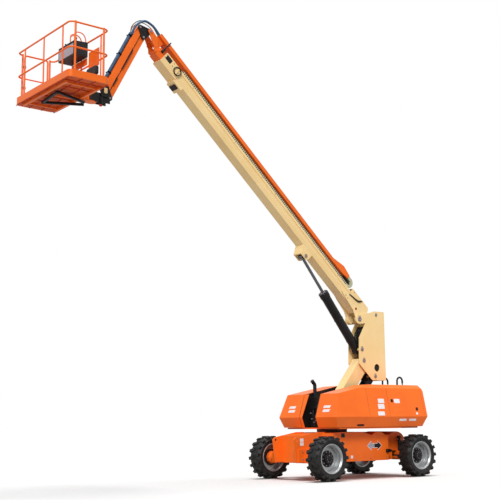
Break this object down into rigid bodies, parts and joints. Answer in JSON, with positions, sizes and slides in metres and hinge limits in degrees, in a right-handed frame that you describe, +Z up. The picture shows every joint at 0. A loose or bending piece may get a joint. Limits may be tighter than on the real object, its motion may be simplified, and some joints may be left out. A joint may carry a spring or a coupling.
{
  "type": "telescopic boom lift",
  "caption": "Self-propelled telescopic boom lift with a tower linkage, a telescoping boom and a jib that carries a work platform for people.",
  "frame": {"origin": "on the floor under the slew axis of the turntable", "axes": "+X from the slew axis to the steered axle and the counterweight, away from the platform; +Y to the far side in the picture; +Z up"},
  "size_m": [10.5602, 2.49, 10.3445],
  "materials": {
    "orange_paint": "gloss enamel",
    "cream_paint": "gloss enamel",
    "black_paint": "satin enamel",
    "silver_paint": "satin enamel",
    "tyre_rubber": "moulded rubber",
    "cast_weight": "painted casting",
    "engine_alloy": "cast",
    "tank_plastic": "moulded",
    "track_plastic": "moulded",
    "console_plastic": "moulded",
    "chrome_rod": "ground and plated"
  },
  "bodies": {
    "chassis": {"chassis_frame": "orange_paint", "fixed_axle": "orange_paint", "steer_axle": "orange_paint", "lock_cylinders": "black_paint"},
    "wheel_fixed_right": {"tyre_fixed_right": "tyre_rubber", "rim_fixed_right": "silver_paint"},
    "wheel_fixed_left": {"tyre_fixed_left": "tyre_rubber", "rim_fixed_left": "silver_paint"},
    "wheel_steer_right": {"tyre_steer_right": "tyre_rubber", "rim_steer_right": "silver_paint"},
    "wheel_steer_left": {"tyre_steer_left": "tyre_rubber", "rim_steer_left": "silver_paint"},
    "knuckle_right": {"knuckle_right": "orange_paint"},
    "knuckle_left": {"knuckle_left": "orange_paint"},
    "steering_rod": {"steering_rod": "chrome_rod"},
    "turntable": {"turntable_frame": "orange_paint", "turntable_cowl": "black_paint", "nose_panel": "orange_paint", "lifting_loops": "black_paint", "counterweight": "cast_weight", "engine_block": "engine_alloy", "tanks": "tank_plastic", "valve_block": "engine_alloy", "exhaust_pipe": "black_paint"},
    "hood_right": {"hood_right": "orange_paint"},
    "hood_left": {"hood_left": "orange_paint"},
    "tower_link": {"tower_link": "cream_paint"},
    "timing_link": {"timing_link": "black_paint"},
    "tower_barrel": {"tower_cylinder_barrel": "black_paint"},
    "tower_rod": {"tower_cylinder_rod": "chrome_rod"},
    "upright": {"upright": "cream_paint"},
    "boom_base": {"boom_base": "cream_paint", "power_track": "track_plastic"},
    "boom_mid": {"boom_mid": "orange_paint"},
    "boom_fly": {"boom_fly": "orange_paint", "track_tray": "orange_paint"},
    "lift_barrel": {"lift_cylinder_barrel": "black_paint"},
    "lift_rod": {"lift_cylinder_rod": "chrome_rod"},
    "level_bracket": {"level_bracket": "black_paint"},
    "jib_upper": {"jib_upper": "orange_paint"},
    "jib_lower": {"jib_lower": "orange_paint"},
    "jib_head": {"jib_head": "black_paint"},
    "platform": {"platform_floor": "orange_paint", "guard_rails": "orange_paint", "control_console": "console_plastic"},
    "platform_gate": {"platform_gate": "orange_paint"}
  },
  "joints": [
    {"name": "wheel_fixed_right_spin", "type": "hinge", "parent": "chassis", "child": "wheel_fixed_right", "pos_m": [-1.15, -1.055, 0.52], "axis": [0, 1, 0], "continuous": true},
    {"name": "wheel_fixed_left_spin", "type": "hinge", "parent": "chassis", "child": "wheel_fixed_left", "pos_m": [-1.15, 1.055, 0.52], "axis": [0, 1, 0], "continuous": true},
    {"name": "steer_left", "type": "hinge", "parent": "chassis", "child": "knuckle_left", "pos_m": [1.9, 0.79, 0.52], "axis": [0, 0, 1], "range_deg": [-38, 38]},
    {"name": "steer_right", "type": "hinge", "parent": "chassis", "child": "knuckle_right", "pos_m": [1.9, -0.79, 0.52], "axis": [0, 0, 1], "range_deg": [-38, 38]},
    {"name": "steering_rod_travel", "type": "slide", "parent": "chassis", "child": "steering_rod", "axis": [0, 1, 0], "range_m": [-0.0901, 0.0901]},
    {"name": "wheel_steer_right_spin", "type": "hinge", "parent": "knuckle_right", "child": "wheel_steer_right", "pos_m": [1.9, -1.055, 0.52], "axis": [0, 1, 0], "continuous": true},
    {"name": "wheel_steer_left_spin", "type": "hinge", "parent": "knuckle_left", "child": "wheel_steer_left", "pos_m": [1.9, 1.055, 0.52], "axis": [0, 1, 0], "continuous": true},
    {"name": "slew", "type": "hinge", "parent": "chassis", "child": "turntable", "pos_m": [0, 0, 1.155], "axis": [0, 0, 1], "continuous": true},
    {"name": "hood_left_open", "type": "hinge", "parent": "turntable", "child": "hood_left", "pos_m": [0.75, 0.295, 2.27], "axis": [1, 0, 0], "range_deg": [0, 55]},
    {"name": "hood_right_open", "type": "hinge", "parent": "turntable", "child": "hood_right", "pos_m": [0.75, -0.295, 2.27], "axis": [-1, 0, 0], "range_deg": [0, 55]},
    {"name": "tower_lift", "type": "hinge", "parent": "turntable", "child": "tower_link", "pos_m": [0.0597, 0, 1.7851], "axis": [0, -1, 0], "range_deg": [-45, 0]},
    {"name": "timing_follow", "type": "hinge", "parent": "turntable", "child": "timing_link", "pos_m": [0.4497, 0, 1.3921], "axis": [0, -1, 0], "range_deg": [-45, 0]},
    {"name": "upright_level", "type": "hinge", "parent": "tower_link", "child": "upright", "pos_m": [0.98201, 0, 2.90396], "axis": [0, -1, 0], "range_deg": [0, 45]},
    {"name": "tower_cylinder_swing", "type": "hinge", "parent": "turntable", "child": "tower_barrel", "pos_m": [0.332, 0, 1.3], "axis": [0, -1, 0], "range_deg": [-35.5, 0]},
    {"name": "tower_cylinder_stroke", "type": "slide", "parent": "tower_barrel", "child": "tower_rod", "axis": [0.3526, 0, 0.9358], "range_m": [-0.396, 0]},
    {"name": "boom_lift", "type": "hinge", "parent": "upright", "child": "boom_base", "pos_m": [0.86301, 0, 3.96296], "axis": [0, 1, 0], "range_deg": [-42, 33]},
    {"name": "lift_cylinder_swing", "type": "hinge", "parent": "upright", "child": "lift_barrel", "pos_m": [0.92101, 0, 3.19196], "axis": [0, 1, 0], "range_deg": [-33.7, 26.5]},
    {"name": "lift_cylinder_stroke", "type": "slide", "parent": "lift_barrel", "child": "lift_rod", "axis": [-0.6253, 0, 0.7804], "range_m": [-0.338, 0.266]},
    {"name": "telescope", "type": "slide", "parent": "boom_base", "child": "boom_mid", "axis": [-0.7408, 0, 0.6717], "range_m": [0, 7.1]},
    {"name": "telescope_fly", "type": "slide", "parent": "boom_mid", "child": "boom_fly", "axis": [-0.7408, 0, 0.6717], "range_m": [0, 7.1]},
    {"name": "platform_level", "type": "hinge", "parent": "boom_fly", "child": "level_bracket", "pos_m": [-5.48922, 0, 10.24211], "axis": [0, 1, 0], "range_deg": [-33, 42]},
    {"name": "jib_lift", "type": "hinge", "parent": "level_bracket", "child": "jib_upper", "pos_m": [-5.74838, 0, 10.28664], "axis": [0, 1, 0], "range_deg": [-15, 97]},
    {"name": "jib_link_follow", "type": "hinge", "parent": "level_bracket", "child": "jib_lower", "pos_m": [-5.66051, 0, 10.0621], "axis": [0, 1, 0], "range_deg": [-15, 97]},
    {"name": "jib_head_level", "type": "hinge", "parent": "jib_upper", "child": "jib_head", "pos_m": [-6.60752, 0, 8.67084], "axis": [0, 1, 0], "range_deg": [-97, 15]},
    {"name": "platform_rotate", "type": "hinge", "parent": "jib_head", "child": "platform", "pos_m": [-6.92952, 0, 8.41984], "axis": [0, 0, 1], "range_deg": [-90, 90]},
    {"name": "gate_swing", "type": "hinge", "parent": "platform", "child": "platform_gate", "pos_m": [-7.94652, 1.2047, 8.91984], "axis": [0, 0, 1], "range_deg": [0, 95]}
  ],
  "couplings": [
    {"joint": "steer_right", "follows": "steer_left", "ratio": 1},
    {"joint": "steering_rod_travel", "follows": "steer_left", "m_per_rad": -0.1357},
    {"joint": "timing_follow", "follows": "tower_lift", "ratio": 1},
    {"joint": "upright_level", "follows": "tower_lift", "ratio": -1},
    {"joint": "tower_cylinder_swing", "follows": "tower_lift", "ratio": 0.786},
    {"joint": "tower_cylinder_stroke", "follows": "tower_lift", "m_per_rad": 0.503},
    {"joint": "lift_cylinder_swing", "follows": "boom_lift", "ratio": 0.8},
    {"joint": "lift_cylinder_stroke", "follows": "boom_lift", "m_per_rad": 0.46},
    {"joint": "platform_level", "follows": "boom_lift", "ratio": -1},
    {"joint": "telescope_fly", "follows": "telescope", "ratio": 1},
    {"joint": "jib_link_follow", "follows": "jib_lift", "ratio": 1},
    {"joint": "jib_head_level", "follows": "jib_lift", "ratio": -1}
  ]
}
